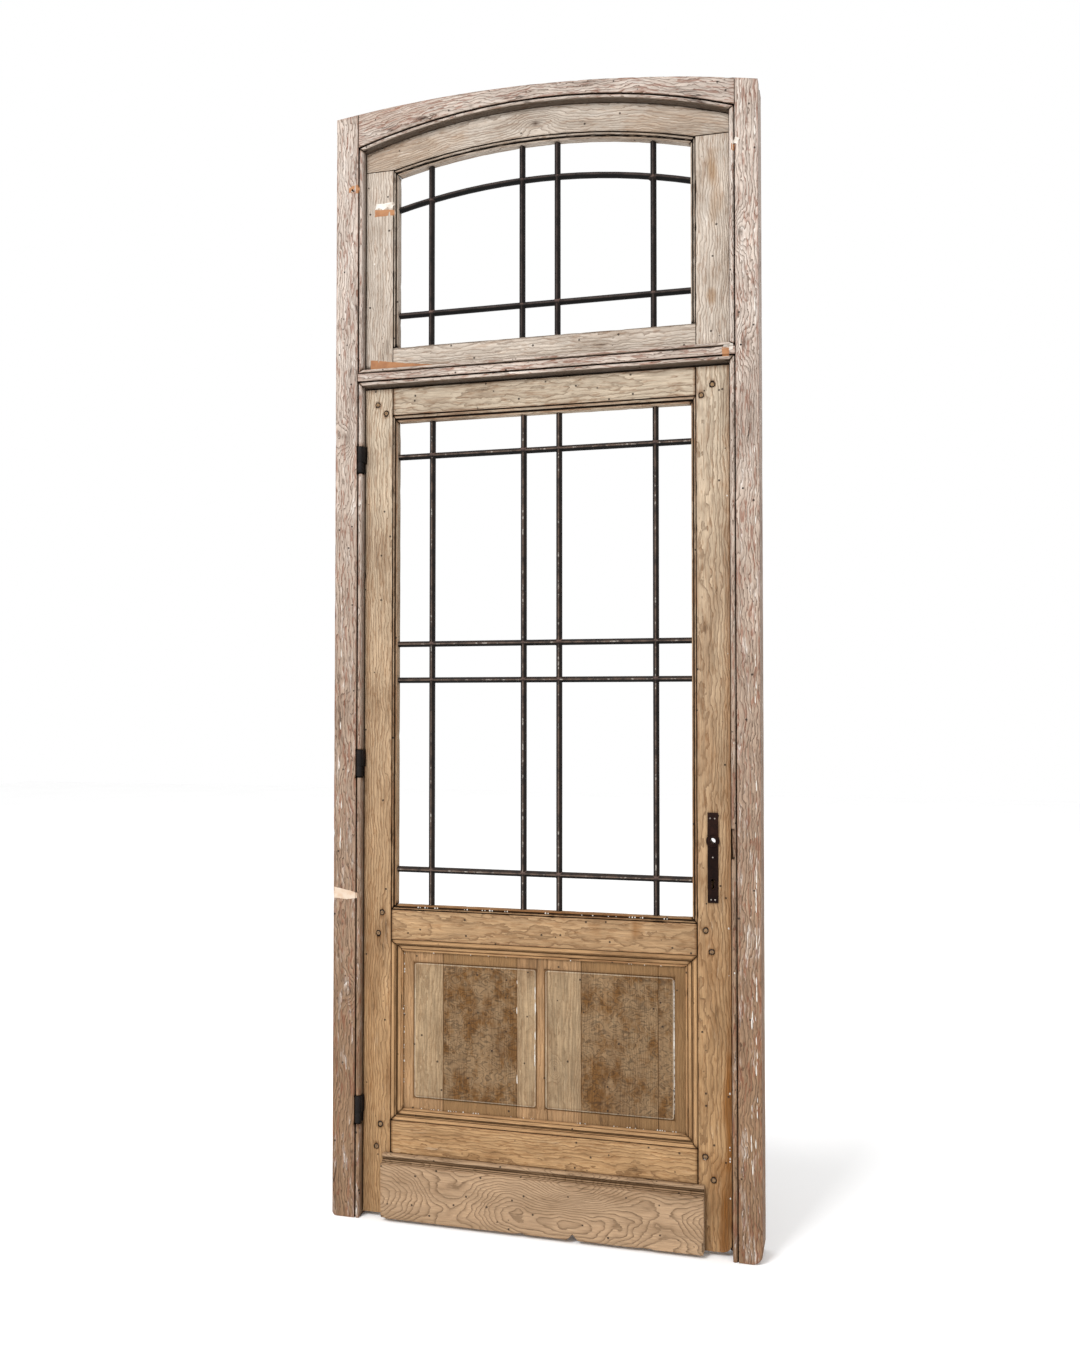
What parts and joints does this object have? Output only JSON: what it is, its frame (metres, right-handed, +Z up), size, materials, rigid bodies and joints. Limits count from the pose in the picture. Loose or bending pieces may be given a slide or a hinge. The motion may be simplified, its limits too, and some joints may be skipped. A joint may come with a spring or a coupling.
{
  "type": "door",
  "caption": "Weathered oak entrance door with iron glazing bars and a boarded lower panel, hung in its frame under a fixed arched light.",
  "frame": {"origin": "middle of the underside of the hinge jamb's foot, halfway through the frame", "axes": "+Z up; the front of the door looks along -Y; +X runs from the hinge jamb to the lock jamb"},
  "size_m": [1.172, 0.1053, 3.083],
  "materials": {
    "weathered_oak": "weathered",
    "honey_oak": "weathered",
    "dark_oak": "weathered",
    "black_iron": "aged",
    "brown_iron": "aged"
  },
  "bodies": {
    "frame": {"hinge_jamb": "weathered_oak", "lock_jamb": "weathered_oak", "arched_head": "weathered_oak", "transom_bar": "weathered_oak", "light_left_stile": "weathered_oak", "light_right_stile": "weathered_oak", "light_bottom_rail": "weathered_oak", "light_arched_rail": "weathered_oak", "light_upright_bar_1": "black_iron", "light_upright_bar_2": "black_iron", "light_upright_bar_3": "black_iron", "light_upright_bar_4": "black_iron", "light_level_bar": "black_iron", "light_curved_bar": "black_iron", "upper_hinge_jamb_half": "black_iron", "middle_hinge_jamb_half": "black_iron", "lower_hinge_jamb_half": "black_iron"},
    "leaf": {"hinge_stile": "honey_oak", "lock_stile": "honey_oak", "top_rail": "honey_oak", "lock_rail": "honey_oak", "bottom_rail": "honey_oak", "panel_board_1": "honey_oak", "panel_board_2": "dark_oak", "panel_board_3": "honey_oak", "panel_board_4": "honey_oak", "panel_board_5": "dark_oak", "panel_board_6": "dark_oak", "panel_moulding_bottom": "honey_oak", "panel_moulding_top": "honey_oak", "panel_moulding_left": "honey_oak", "panel_moulding_right": "honey_oak", "weatherboard": "honey_oak", "leaf_upright_bar_1": "black_iron", "leaf_upright_bar_2": "black_iron", "leaf_upright_bar_3": "black_iron", "leaf_upright_bar_4": "black_iron", "leaf_level_bar_1": "black_iron", "leaf_level_bar_2": "black_iron", "leaf_level_bar_3": "black_iron", "leaf_level_bar_4": "black_iron", "upper_hinge_leaf_half": "black_iron", "middle_hinge_leaf_half": "black_iron", "lower_hinge_leaf_half": "black_iron", "lock_plate": "brown_iron", "peg_top_left_1": "honey_oak", "peg_top_left_2": "honey_oak", "peg_top_right_1": "honey_oak", "peg_top_right_2": "honey_oak", "peg_middle_left_1": "honey_oak", "peg_middle_left_2": "honey_oak", "peg_middle_right_1": "honey_oak", "peg_middle_right_2": "honey_oak", "peg_bottom_left_1": "honey_oak", "peg_bottom_left_2": "honey_oak", "peg_bottom_right_1": "honey_oak", "peg_bottom_right_2": "honey_oak"}
  },
  "joints": [
    {"name": "leaf_hinge", "type": "hinge", "parent": "frame", "child": "leaf", "pos_m": [0.0336, -0.0436, 0], "axis": [0, 0, -1], "range_deg": [0, 150]}
  ]
}
